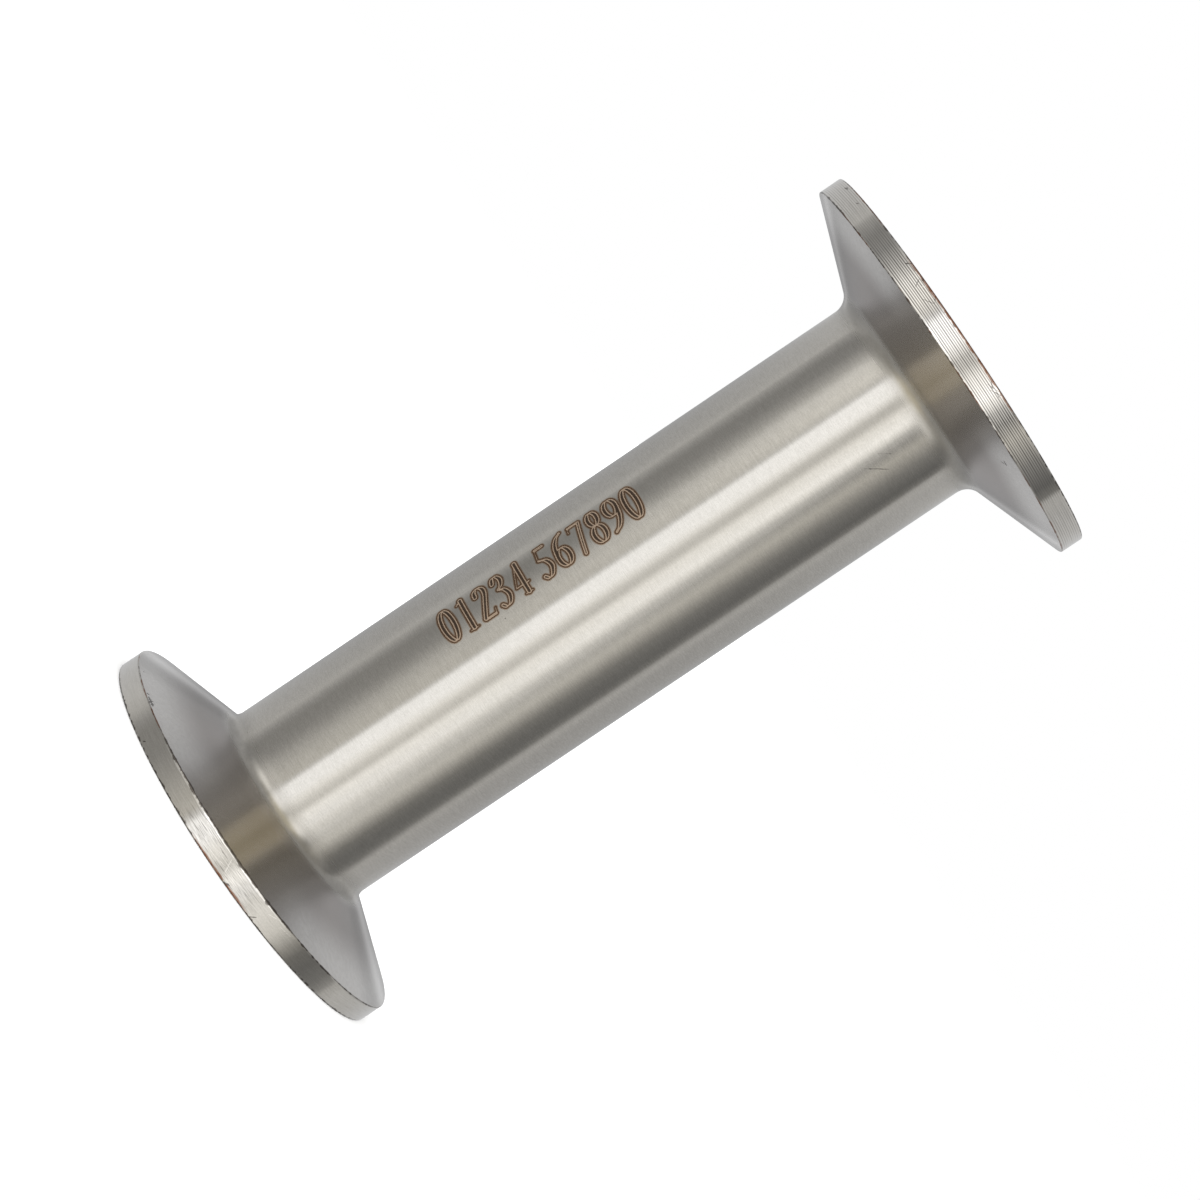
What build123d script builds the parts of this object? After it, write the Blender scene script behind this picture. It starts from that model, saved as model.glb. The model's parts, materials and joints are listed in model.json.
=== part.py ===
"""Sanitary spool pipe: a short stainless tube with a hygienic clamp ferrule on each end.

The two ferrules are butt-welded to the tube and the welds are dressed flush inside and out,
so the finished spool is one piece of metal.  Everything on it is turned, so the whole part
is one half-section spun about the flow axis.

Frame: the spool stands on its lower sealing face.  The origin is the centre of that face
and +Z is the flow axis, towards the upper sealing face.  Lengths are in millimetres.
"""
from build123d import *
import math
import os

# ---- Driving dimensions -------------------------------------------------------------------
spool_length = 101.6        # from one sealing face to the other
tube_od = 25.4              # outside diameter of the tube
tube_wall = 1.65            # wall of the tube, and of the ferrule's weld end

flange_od = 50.5            # outside diameter of the clamp flange
rim_thickness = 2.85        # width of the flange's cylindrical rim
clamp_taper = 20.0          # degrees that the clamp's seat rises from the flange plane

lower_neck_radius = 1.6     # blend from the lower clamp seat into the tube
upper_neck_radius = 2.3     # the same blend on the upper end, dressed back further

groove_diameter = 43.6      # gasket groove, measured across its deepest line
groove_radius = 2.34        # radius of the round-bottomed groove cutter
groove_depth = 1.6          # depth of the groove below the sealing face

rim_edge_radius = 0.2       # broken edges of the rim
groove_edge_radius = 0.25   # broken edges of the gasket groove
bore_edge_radius = 0.15     # broken edge where the bore meets the sealing face

# ---- Sizes that follow --------------------------------------------------------------------
tube_radius = tube_od / 2
bore_radius = tube_radius - tube_wall
flange_radius = flange_od / 2
seat_height = (flange_radius - tube_radius) * math.tan(math.radians(clamp_taper))
neck_height = rim_thickness + seat_height


def corner(section, radius, height):
    """The corner of a section that lies at this radius and height, as a list for fillet()."""
    return [min(section.vertices(), key=lambda v: abs(v.X - radius) + abs(v.Z - height))]


def body_section(neck_radius):
    """One ferrule in half-section, from its sealing face at Z = 0 to the middle of the spool."""
    middle = spool_length / 2
    outline = Polyline(
        (bore_radius, 0, 0),
        (flange_radius, 0, 0),
        (flange_radius, 0, rim_thickness),
        (tube_radius, 0, neck_height),
        (tube_radius, 0, middle),
        (bore_radius, 0, middle),
        close=True,
    )
    section = make_face(outline)
    section = fillet(corner(section, tube_radius, neck_height), neck_radius)
    section = fillet(corner(section, flange_radius, rim_thickness), rim_edge_radius)
    section = fillet(corner(section, flange_radius, 0), rim_edge_radius)
    return fillet(corner(section, bore_radius, 0), bore_edge_radius)


def groove_section():
    """The round-bottomed cutter that turns the gasket groove, in the same half-section plane."""
    cutter_height = groove_depth - groove_radius
    cutter = Plane.XZ * Pos(groove_diameter / 2, cutter_height) * Circle(groove_radius)
    return cutter


def grooved_section(neck_radius):
    """A ferrule's half-section with its gasket groove cut and the groove's edges broken."""
    section = body_section(neck_radius) - groove_section()
    half_width = math.sqrt(groove_radius**2 - (groove_radius - groove_depth) ** 2)
    for side in (-half_width, half_width):
        edge = corner(section, groove_diameter / 2 + side, 0)
        section = fillet(edge, groove_edge_radius)
    return section


def spool_pipe():
    """Both half-sections, joined at the middle of the tube and spun about the flow axis."""
    lower = grooved_section(lower_neck_radius)
    upper = grooved_section(upper_neck_radius)
    middle_plane = Plane.XY.offset(spool_length / 2)
    section = lower + mirror(upper, about=middle_plane)
    return revolve(section, axis=Axis.Z)


spool = spool_pipe()
spool.label = "spool_pipe"

os.makedirs("parts", exist_ok=True)
export_step(spool, "parts/spool_pipe.step")
print("spool_pipe", "volume", round(spool.volume), "mm3, valid", spool.is_valid)
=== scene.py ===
# %% [markdown]
# # A sanitary spool pipe
# A spool is a short length of stainless tube with a clamp flange on each end.  Two clamps take it
# out of a process line in seconds.  Tube and flanges are welded, the welds are dressed flush, and
# everything on it was turned, so to the eye it is one body of revolution.
# The CAD model has its true form.  This script gives it the finish of the real thing: brushed
# around the axis, turned ridges on one rim, a laser-marked number, small nicks and stains.

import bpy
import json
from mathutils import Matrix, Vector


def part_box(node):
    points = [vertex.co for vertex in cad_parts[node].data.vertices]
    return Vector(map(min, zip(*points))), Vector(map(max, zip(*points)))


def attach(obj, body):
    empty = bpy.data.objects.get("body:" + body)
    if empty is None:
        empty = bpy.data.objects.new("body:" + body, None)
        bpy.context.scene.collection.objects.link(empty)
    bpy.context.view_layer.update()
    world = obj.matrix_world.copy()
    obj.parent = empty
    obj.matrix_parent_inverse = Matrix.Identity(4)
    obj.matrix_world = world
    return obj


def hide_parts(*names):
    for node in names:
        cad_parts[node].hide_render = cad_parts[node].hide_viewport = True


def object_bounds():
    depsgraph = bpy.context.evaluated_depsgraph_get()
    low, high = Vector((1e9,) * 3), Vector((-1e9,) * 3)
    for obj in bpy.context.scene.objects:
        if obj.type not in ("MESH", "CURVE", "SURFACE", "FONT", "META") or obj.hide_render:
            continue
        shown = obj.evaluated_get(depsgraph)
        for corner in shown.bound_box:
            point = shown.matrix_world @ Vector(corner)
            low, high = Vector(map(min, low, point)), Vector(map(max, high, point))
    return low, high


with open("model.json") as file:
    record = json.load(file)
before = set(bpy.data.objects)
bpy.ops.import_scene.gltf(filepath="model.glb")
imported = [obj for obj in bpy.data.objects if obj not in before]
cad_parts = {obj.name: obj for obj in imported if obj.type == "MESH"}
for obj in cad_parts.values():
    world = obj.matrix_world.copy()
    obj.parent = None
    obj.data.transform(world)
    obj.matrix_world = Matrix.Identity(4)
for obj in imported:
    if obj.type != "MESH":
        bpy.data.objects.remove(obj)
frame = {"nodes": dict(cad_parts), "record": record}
cad_low, cad_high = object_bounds()
print("CAD box, metres:", [round(v, 5) for v in (*cad_low, *cad_high)])

# %% Modules
import json
import math

import bpy
import numpy as np
from mathutils import Matrix

mm = 0.001

# %% [markdown]
# ## Sizes
# The frame already holds most sizes: its box, and the mounts in its record.  Only what a drawing of
# such a flange adds is written here, such as the slope of the clamp seat and the gasket groove.

# %% Sizes read from the frame
low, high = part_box("spool_pipe")
spool_length = high.z - low.z
middle = (high.z + low.z) / 2
mounts = {mount["name"]: mount for mount in frame["record"]["mounts"]}
bore_radius = mounts["flow_bore"]["dims"]["r_mm"] * mm
flange_radius = mounts["upper_rim"]["dims"]["r_mm"] * mm
rim_width = 2 * mounts["lower_rim"]["pos_m"][2]

cad_mesh = frame["nodes"]["spool_pipe"].data
radii = [math.hypot(v.co.x, v.co.y) for v in cad_mesh.vertices]
tube_radius = min(r for r in radii if r > bore_radius + 1 * mm)
print("length", round(spool_length / mm, 2), "tube", round(2 * tube_radius / mm, 2))

# %% Sizes of this kind of flange
seat_slope = math.radians(20)
lower_neck_radius = 1.6 * mm
upper_neck_radius = 2.3 * mm
groove_middle = 21.8 * mm
groove_radius = 2.34 * mm
groove_depth = 1.6 * mm
rim_edge = 0.2 * mm
groove_edge = 0.25 * mm
bore_edge = 0.15 * mm
neck_height = rim_width + (flange_radius - tube_radius) * math.tan(seat_slope)
print("neck height", round(neck_height / mm, 3))

# %% [markdown]
# ## The section
# A turned piece is fully told by half of its section: a closed outline of radius and height.  It
# could be traced point by point, but a drawing gives straight runs and arcs, so two helpers make
# those.  Each straight run keeps a row of points close to its ends: smooth shading then stays flat
# on the flats and rolls only over the broken edges.

# %% Helpers for straight runs and arcs
hold = 0.05 * mm


def arc(centre, radius, start, end, step=10):
    """Points of an arc, from one angle in degrees to another."""
    count = max(2, math.ceil(abs(end - start) / step))
    angles = np.radians(np.linspace(start, end, count + 1))
    return [(centre[0] + radius * math.cos(a), centre[1] + radius * math.sin(a)) for a in angles]


def run(start, end, spacing):
    """Points inside a straight run, with one held close to each end."""
    start, end = np.array(start), np.array(end)
    length = np.linalg.norm(end - start)
    count = max(1, math.ceil((length - 2 * hold) / spacing))
    places = np.linspace(hold, length - hold, count + 1)
    return [tuple(start + (end - start) * place / length) for place in places]


def joined(*arcs, spacing):
    """One line through several arcs, with a straight run between each two."""
    points = list(arcs[0])
    for following, gap in zip(arcs[1:], spacing):
        points += run(points[-1], following[0], gap)
        points += following
    return points


# %% One half of the section
def half_section(neck_radius, rim_spacing):
    """The lower half's outline, from the middle of the bore round to the middle of the tube."""
    slope = math.degrees(seat_slope)
    lift = (1 - math.sin(seat_slope)) / math.cos(seat_slope)
    groove_floor = groove_depth - groove_radius
    reach = math.sqrt((groove_radius + groove_edge) ** 2 - (groove_edge - groove_floor) ** 2)
    tilt = math.degrees(math.atan2(groove_edge - groove_floor, reach))
    inner = (groove_middle - reach, groove_edge)
    outer = (groove_middle + reach, groove_edge)
    groove = (
        arc(inner, groove_edge, 270, 360 - tilt, 14)
        + arc((groove_middle, groove_floor), groove_radius, 180 - tilt, tilt)[1:-1]
        + arc(outer, groove_edge, 180 + tilt, 270, 14)
    )
    bore_corner = arc((bore_radius + bore_edge, bore_edge), bore_edge, 180, 270, 18)
    lower_edge = arc((flange_radius - rim_edge, rim_edge), rim_edge, 270, 360, 15)
    upper_edge = arc((flange_radius - rim_edge, rim_width - rim_edge * lift), rim_edge, 0, 90 - slope, 14)
    neck_middle = (tube_radius + neck_radius, neck_height + neck_radius * lift)
    neck = arc(neck_middle, neck_radius, 270 - slope, 180, 5)
    return joined(
        [(bore_radius, spool_length / 2)], bore_corner, groove, lower_edge, upper_edge, neck,
        [(tube_radius, spool_length / 2)],
        spacing=(4 * mm, 1.5 * mm, 1 * mm, rim_spacing, 0.9 * mm, 4 * mm),
    )


# %% [markdown]
# The upper half is the lower one mirrored.  Its rim was left as the lathe tool cut it, with about
# ten fine ridges, so it gets enough rows of points to carry them.

# %% The whole section
ridge_pitch = 0.26 * mm
rows_per_ridge = 7
lower_half = half_section(lower_neck_radius, 0.6 * mm)
upper_half = half_section(upper_neck_radius, ridge_pitch / rows_per_ridge)
mirrored = [(r, spool_length - z) for r, z in reversed(upper_half)]
section = lower_half[:-1] + mirrored
print("section points", len(section))


# %% The section as an object
def mesh_object(name, points, edges):
    """A bare wire object, for a tree of geometry nodes to build on."""
    mesh = bpy.data.meshes.new(name)
    mesh.from_pydata(points, edges, [])
    made = bpy.data.objects.new(name, mesh)
    bpy.context.scene.collection.objects.link(made)
    return made


def share_of_length(points):
    """How far along the line each point lies, from 0 to 1."""
    steps = np.linalg.norm(np.diff(np.array(points), axis=0), axis=1)
    return np.concatenate([[0], np.cumsum(steps)]) / steps.sum()


spool = mesh_object(
    "spool",
    [(r, 0, z) for r, z in section],
    [(i, i + 1) for i in range(len(section) - 1)],
)
along = spool.data.attributes.new("along", "FLOAT", "POINT")
along.data.foreach_set("value", share_of_length(section).astype(np.float32))
print("wire edges", len(spool.data.edges))

# %% [markdown]
# ## Working with node trees
# Geometry nodes and shader nodes are wired in the same way, so a few helpers serve both.  A value
# may be a number or another node's socket: a number is written into the input, a socket is linked.

# %% Helpers for any node tree
def feed(tree, target, value):
    """Puts a plain value into an input, or links another node's output to it."""
    if isinstance(value, bpy.types.NodeSocket):
        tree.links.new(value, target)
    else:
        target.default_value = value


def add(tree, kind, *values, **settings):
    """A new node with its settings, and its inputs fed in order; None leaves an input alone."""
    node = tree.nodes.new(kind)
    for name, value in settings.items():
        setattr(node, name, value)
    for target, value in zip(node.inputs, values):
        if value is not None:
            feed(tree, target, value)
    return node


def maths(tree, operation, *values):
    """A Math node's result."""
    return add(tree, "ShaderNodeMath", *values, operation=operation).outputs[0]


def times(tree, first, *others):
    """All the values multiplied together."""
    for other in others:
        first = maths(tree, "MULTIPLY", first, other)
    return first


def negated(tree, value):
    """The value with its sign changed."""
    return maths(tree, "MULTIPLY", value, -1.0)


def rest_of(tree, share):
    """What a share leaves of one."""
    return maths(tree, "SUBTRACT", 1.0, share)


def ramp_between(tree, value, start, end, low=0.0, high=1.0):
    """A smooth change from low to high while the value goes from start to end."""
    values = (value, start, end, low, high)
    return add(tree, "ShaderNodeMapRange", *values, interpolation_type="SMOOTHSTEP").outputs[0]


def combined(tree, x, y, z):
    """A vector made of three numbers."""
    return add(tree, "ShaderNodeCombineXYZ", x, y, z).outputs[0]


def split(tree, vector):
    """The three numbers of a vector."""
    return add(tree, "ShaderNodeSeparateXYZ", vector).outputs


def share_round(tree, bearing):
    """A bearing as a share of the whole turn: 0.5 at the front, growing towards +X."""
    return maths(tree, "MULTIPLY_ADD", bearing, 1 / math.tau, 0.5)


# %% Helpers for geometry nodes
def new_tree(name, **inputs):
    """A geometry tree; its inputs are a geometry and the named values, each with its socket's kind."""
    tree = bpy.data.node_groups.new(name, "GeometryNodeTree")
    tree.interface.new_socket("Geometry", in_out="INPUT", socket_type="NodeSocketGeometry")
    tree.interface.new_socket("Geometry", in_out="OUTPUT", socket_type="NodeSocketGeometry")
    for label, kind in inputs.items():
        label = label.replace("_", " ")
        tree.interface.new_socket(label, in_out="INPUT", socket_type="NodeSocket" + kind)
    return tree, tree.nodes.new("NodeGroupInput").outputs


def finish_tree(tree, geometry, material):
    """Ends a tree in Realize Instances and Set Material."""
    real = add(tree, "GeometryNodeRealizeInstances", geometry).outputs[0]
    painted = add(tree, "GeometryNodeSetMaterial", real, None, material).outputs[0]
    add(tree, "NodeGroupOutput", painted)


def build(piece, tree, **values):
    """Runs a tree on an object, keeps the result as its plain mesh and drops the modifier."""
    modifier = piece.modifiers.new(tree.name, "NODES")
    modifier.node_group = tree
    for item in tree.interface.items_tree:
        name = item.name.replace(" ", "_")
        if item.in_out == "INPUT" and name in values:
            modifier[item.identifier] = values[name]
    graph = bpy.context.evaluated_depsgraph_get()
    made = bpy.data.meshes.new_from_object(piece.evaluated_get(graph), depsgraph=graph)
    piece.modifiers.clear()
    piece.data = made
    made.name = piece.name
    print(piece.name, len(made.vertices), "vertices", len(made.polygons), "faces")


# %% [markdown]
# ## The spool, spun by geometry nodes
# On the lathe the work turns and the tool follows the section.  The tree does the same: it lays a
# flat grid with one row for each point of the section and one column for each step round, then
# moves every grid point to its radius, height and bearing.  The Screw modifier would also spin the
# section, but here each row can be changed on the way, and the rim's ridges need just that.
# Bearings run from 0 at the front, -Y, towards +X.

# %% Steps that the geometry trees share
merge_gap = 0.0005 * mm


def position(tree):
    """Where each point lies."""
    return tree.nodes.new("GeometryNodeInputPosition").outputs[0]


def stored(tree, name, kind):
    """A value that was stored on the points under a name."""
    return add(tree, "GeometryNodeInputNamedAttribute", name, data_type=kind).outputs[0]


def sampled(tree, geometry, value, row, kind):
    """A value of the section's points, read at one row."""
    return add(tree, "GeometryNodeSampleIndex", geometry, value, row, data_type=kind).outputs[0]


def kept(tree, geometry, name, value, kind, domain="POINT"):
    """The geometry with a value stored on it under a name."""
    settings = {"data_type": kind, "domain": domain}
    node = add(tree, "GeometryNodeStoreNamedAttribute", geometry, None, name, value, **settings)
    return node.outputs[0]


def moved(tree, geometry, place, chosen=None):
    """The geometry with all its points, or only the chosen ones, moved to a place."""
    return add(tree, "GeometryNodeSetPosition", geometry, chosen, place).outputs[0]


def round_the_axis(tree, radius, bearing, height):
    """The point at this radius, bearing and height."""
    sideways = times(tree, radius, maths(tree, "SINE", bearing))
    forwards = times(tree, radius, maths(tree, "COSINE", bearing))
    return combined(tree, sideways, negated(tree, forwards), height)


# %% Ridges on a rim
shallowest_valley = 0.7


def ridge_share(tree, given, radius, height):
    """How deep in a ridge's valley a row lies, from 0 to 1; each valley has its own depth."""
    from_low = maths(tree, "SUBTRACT", height, given["Ridge Low"])
    ridges_up = maths(tree, "DIVIDE", from_low, given["Ridge Pitch"])
    wave = maths(tree, "COSINE", times(tree, ridges_up, math.tau))
    valley = maths(tree, "MULTIPLY_ADD", wave, -0.5, 0.5)
    on_rim = maths(tree, "GREATER_THAN", radius, given["Rim Radius"])
    below_top = maths(tree, "LESS_THAN", height, given["Ridge High"])
    above_low = maths(tree, "GREATER_THAN", height, given["Ridge Low"])
    uneven = add(tree, "FunctionNodeRandomValue", data_type="FLOAT")
    uneven.inputs[2].default_value = shallowest_valley
    feed(tree, uneven.inputs["ID"], maths(tree, "FLOOR", ridges_up))
    uneven.inputs["Seed"].default_value = 7
    return times(tree, valley, on_rim, below_top, above_low, uneven.outputs[1])


# %% The spinning tree
def spinning_tree():
    """Spins the section's points about the axis and cuts the ridges into the rim."""
    tree, given = new_tree(
        "spin_the_section", Segments="Int", Ridge_Pitch="Float", Ridge_Depth="Float",
        Ridge_Low="Float", Ridge_High="Float", Rim_Radius="Float", Material="Material",
    )
    line = given["Geometry"]
    rows = add(tree, "GeometryNodeAttributeDomainSize", line).outputs["Point Count"]
    last_row = maths(tree, "SUBTRACT", rows, 1.0)
    columns = maths(tree, "ADD", given["Segments"], 1.0)
    grid = add(tree, "GeometryNodeMeshGrid", math.tau, last_row, columns, rows).outputs["Mesh"]
    bearing, across, _ = split(tree, position(tree))
    row = maths(tree, "ROUND", maths(tree, "MULTIPLY_ADD", last_row, 0.5, across))
    radius, _, height = split(tree, sampled(tree, line, position(tree), row, "FLOAT_VECTOR"))
    along = sampled(tree, line, stored(tree, "along", "FLOAT"), row, "FLOAT")
    valley = ridge_share(tree, given, radius, height)
    turned = maths(tree, "SUBTRACT", radius, times(tree, valley, given["Ridge Depth"]))
    uv = combined(tree, share_round(tree, bearing), along, 0.0)
    mapped = kept(tree, grid, "UVMap", uv, "FLOAT2", "CORNER")
    mapped = kept(tree, mapped, "valley", valley, "FLOAT")
    spun = moved(tree, mapped, round_the_axis(tree, turned, bearing, height))
    closed = add(tree, "GeometryNodeMergeByDistance", spun, None, merge_gap).outputs[0]
    smooth = add(tree, "GeometryNodeSetShadeSmooth", closed).outputs[0]
    finish_tree(tree, smooth, given["Material"])
    return tree


# %% [markdown]
# ## Brushed stainless steel
# The tube was finished with an abrasive belt while it turned, so all its fine scratches run round
# the axis.  They spread a reflection up and down but keep it sharp from side to side, which is why
# the studio's panels show on the tube as long straight bands.  The Anisotropic value does this:
# with a quarter turn of Anisotropic Rotation the spread lies across the scratches.
# The same scratches also show as fine streaks.  They are a noise stretched round the axis, and
# since more than one material has them, they are a node group.

# %% Helpers for shader groups
def new_group(name, inputs, outputs):
    """A shader node group: inputs are {label: first value}, outputs are labels."""
    tree = bpy.data.node_groups.new(name, "ShaderNodeTree")
    for label, value in inputs.items():
        kind = "NodeSocketFloat" if isinstance(value, float) else "NodeSocketVector"
        made = tree.interface.new_socket(label, in_out="INPUT", socket_type=kind)
        made.default_value = value
    for label in outputs:
        tree.interface.new_socket(label, in_out="OUTPUT", socket_type="NodeSocketFloat")
    return tree, tree.nodes.new("NodeGroupInput").outputs


def end_group(tree, *results):
    """Links the results to the group's outputs."""
    add(tree, "NodeGroupOutput", *results)
    return tree


def use(tree, group, **values):
    """Places a group in a tree with its own values and gives its outputs."""
    node = add(tree, "ShaderNodeGroup", node_tree=group)
    for name, value in values.items():
        feed(tree, node.inputs[name.replace("_", " ")], value)
    return node.outputs


# %% Helpers for vectors and noises
def object_place(tree):
    """The point being shaded, in the piece's own coordinates."""
    return tree.nodes.new("ShaderNodeTexCoord").outputs["Object"]


def vector_maths(tree, operation, *values, result=0):
    """A Vector Math node's result: 0 is its vector, 1 its number."""
    return add(tree, "ShaderNodeVectorMath", *values, operation=operation).outputs[result]


def scaled(tree, vector, share):
    """A vector made longer or shorter."""
    node = add(tree, "ShaderNodeVectorMath", vector, operation="SCALE")
    feed(tree, node.inputs["Scale"], share)
    return node.outputs[0]


def bearing_of(tree, x, y):
    """The bearing of a direction: 0 at the front, -Y, growing towards +X."""
    return maths(tree, "ARCTAN2", x, negated(tree, y))


def noise_at(tree, place, scale, detail):
    """A noise, read at a place."""
    noise = add(tree, "ShaderNodeTexNoise", place)
    feed(tree, noise.inputs["Scale"], scale)
    feed(tree, noise.inputs["Detail"], detail)
    return noise.outputs["Fac"]


def speckle(tree, scale, detail):
    """A plain noise in the piece's own coordinates."""
    return noise_at(tree, object_place(tree), scale, detail)


# %% Where a point lies on a turned piece
def axis_place_group():
    """Radius, height and bearing of the point being shaded."""
    tree, _ = new_group("place_round_axis", {}, ["Radius", "Height", "Bearing"])
    x, y, height = split(tree, object_place(tree))
    radius = vector_maths(tree, "LENGTH", combined(tree, x, y, 0.0), result=1)
    return end_group(tree, radius, height, bearing_of(tree, x, y))


axis_place = axis_place_group()


# %% Grain that runs round the axis
def grain_group():
    """A streaky noise: Around sets how short the streaks are, Across how fine."""
    inputs = {"Around": 6.0, "Across": 9000.0, "Detail": 2.0}
    tree, given = new_group("grain_round_axis", inputs, ["Streak"])
    x, y, height = split(tree, object_place(tree))
    flat = combined(tree, x, y, 0.0)
    round_part = scaled(tree, vector_maths(tree, "NORMALIZE", flat), given["Around"])
    radius = vector_maths(tree, "LENGTH", flat, result=1)
    level = maths(tree, "MULTIPLY_ADD", radius, 1.5, height)
    upward = combined(tree, 0.0, 0.0, times(tree, level, given["Across"]))
    place = vector_maths(tree, "ADD", round_part, upward)
    return end_group(tree, noise_at(tree, place, 1.0, given["Detail"]))


grain = grain_group()


# %% A short scratch
def scratch_group():
    """A mask along the line between two points of the surface, broken up as real scratches are."""
    inputs = {"Start": (0, 0, 0), "End": (0, 0, 0), "Width": 0.0001}
    tree, given = new_group("scratch", inputs, ["Mask"])
    from_start = vector_maths(tree, "SUBTRACT", object_place(tree), given["Start"])
    whole = vector_maths(tree, "SUBTRACT", given["End"], given["Start"])
    ahead = vector_maths(tree, "DOT_PRODUCT", from_start, whole, result=1)
    square = vector_maths(tree, "DOT_PRODUCT", whole, whole, result=1)
    share = add(tree, "ShaderNodeMath", ahead, square, operation="DIVIDE", use_clamp=True).outputs[0]
    gap = vector_maths(tree, "DISTANCE", from_start, scaled(tree, whole, share), result=1)
    tapered = maths(tree, "SINE", maths(tree, "MULTIPLY_ADD", share, math.pi * 0.8, math.pi * 0.1))
    broken = maths(tree, "MULTIPLY_ADD", speckle(tree, 3500.0, 2.0), 3.0, -0.8)
    share_of_width = maths(tree, "MAXIMUM", times(tree, tapered, broken), 0.01)
    half_widths_off = maths(tree, "DIVIDE", gap, times(tree, given["Width"], share_of_width))
    return end_group(tree, ramp_between(tree, half_widths_off, 0.3, 1.0, 1.0, 0.0))


scratch = scratch_group()


# %% A line that creeps along an edge, for stains and for painted shade and highlight
edge_line_fade = 0.12


def edge_stain_and_light_group():
    """A thin uneven line along a turned edge, between two bearings."""
    inputs = {
        "Edge Radius": 0.02, "Edge Height": 0.0, "Reach": 0.0003, "Least": 0.01,
        "From": -1.0, "To": 1.0, "Lumps": 500.0,
    }
    tree, given = new_group("edge_stain", inputs, ["Mask"])
    radius, height, bearing = use(tree, axis_place)
    out = maths(tree, "SUBTRACT", radius, given["Edge Radius"])
    up = maths(tree, "SUBTRACT", height, given["Edge Height"])
    gap = vector_maths(tree, "LENGTH", combined(tree, out, up, 0.0), result=1)
    uneven = maths(tree, "MULTIPLY_ADD", speckle(tree, given["Lumps"], 4.0), 3.6, -1.2)
    reach = times(tree, given["Reach"], maths(tree, "MAXIMUM", uneven, given["Least"]))
    begun = maths(tree, "ADD", given["From"], edge_line_fade)
    ending = maths(tree, "SUBTRACT", given["To"], edge_line_fade)
    begin = ramp_between(tree, bearing, given["From"], begun)
    end = ramp_between(tree, bearing, ending, given["To"], 1.0, 0.0)
    line = ramp_between(tree, maths(tree, "DIVIDE", gap, reach), 0.5, 1.0, 1.0, 0.0)
    return end_group(tree, times(tree, line, begin, end))


edge_stain = edge_stain_and_light_group()


# %% [markdown]
# ### The spool's own marks
# A used fitting has nicks on its rims and a few scratches.  They could be cut into the mesh, but
# each is a tenth of a millimetre wide, far below the spacing of its points.  So they are masks in
# the material: each is told by two points of the surface, given as bearing, radius and height.

# %% Scratches and nicks
def point_at(bearing, radius, height):
    """The point at a bearing in degrees, a radius and a height in millimetres."""
    angle = math.radians(bearing)
    return (radius * mm * math.sin(angle), -radius * mm * math.cos(angle), height * mm)


tube_mm = tube_radius / mm
rim_mm = flange_radius / mm
dark_marks = [
    # bearing in degrees, radius and height in mm at each end, then width in mm
    ((19.6, tube_mm, 84.9), (23.4, tube_mm, 86.0), 0.07),
    ((22.6, tube_mm, 85.8), (27.6, tube_mm, 87.2), 0.09),
    ((17.0, tube_mm, 87.1), (21.4, tube_mm, 88.5), 0.06),
    ((-20.2, tube_mm, 41.4), (-20.6, tube_mm, 41.5), 0.16),
    ((31.4, 23.1, 97.97), (33.6, 23.0, 97.93), 0.20),
    ((33.4, 23.0, 97.93), (32.2, 22.3, 97.68), 0.18),
    ((-69.2, rim_mm, 100.9), (-66.6, rim_mm, 101.1), 0.26),
    ((-68.0, rim_mm, 101.2), (-65.8, rim_mm, 101.0), 0.12),
    ((-57.0, rim_mm, 100.7), (-55.6, rim_mm, 100.9), 0.10),
    ((-28.7, rim_mm, 100.9), (-27.6, rim_mm, 101.45), 0.14),
    ((-23.0, rim_mm, 101.2), (-21.5, rim_mm, 100.2), 0.08),
    ((-22.8, rim_mm, 101.5), (-21.4, rim_mm, 101.3), 0.18),
    ((-16.4, rim_mm, 101.4), (-15.2, rim_mm, 101.0), 0.14),
    ((-18.2, rim_mm, 100.1), (-15.2, rim_mm, 100.9), 0.06),
    ((8.6, rim_mm, 101.35), (11.2, rim_mm, 100.9), 0.10),
    ((9.0, rim_mm, 100.8), (12.4, rim_mm, 101.4), 0.08),
    ((10.6, rim_mm, 100.7), (13.4, rim_mm, 101.35), 0.08),
    ((11.8, rim_mm, 101.1), (14.4, rim_mm, 101.0), 0.07),
    ((-52.0, 24.9, 2.98), (-48.0, 24.85, 2.99), 0.62),
    ((-53.8, 24.9, 2.98), (-53.2, 24.9, 2.98), 0.42),
    ((-67.2, 24.65, 3.07), (-66.7, 24.65, 3.07), 0.28),
    ((-38.5, rim_mm, 0.4), (-37.6, rim_mm, 0.7), 0.12),
    ((5.6, rim_mm, 0.12), (7.4, rim_mm, 0.45), 0.18),
    ((16.9, rim_mm, 0.2), (18.1, rim_mm, 0.75), 0.16),
]
bright_marks = [
    ((3.9, rim_mm, 0.9), (2.2, rim_mm, 2.3), 0.17),
    ((0.6, rim_mm, 1.1), (2.6, rim_mm, 1.3), 0.08),
    ((1.8, rim_mm, 2.5), (6.4, rim_mm, 2.2), 0.06),
    ((19.0, rim_mm, 2.0), (21.8, rim_mm, 2.5), 0.08),
    ((-20.8, rim_mm, 100.9), (-20.2, rim_mm, 101.2), 0.16),
    ((24.0, rim_mm, 2.2), (28.0, rim_mm, 2.4), 0.07),
]
print(len(dark_marks) + len(bright_marks), "nicks and scratches")


def all_marks(tree, marks):
    """One mask for a whole list of marks."""
    mask = 0.0
    for start, end, width in marks:
        one = use(tree, scratch, Start=point_at(*start), End=point_at(*end), Width=width * mm)
        mask = maths(tree, "MAXIMUM", mask, one["Mask"])
    return mask
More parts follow.
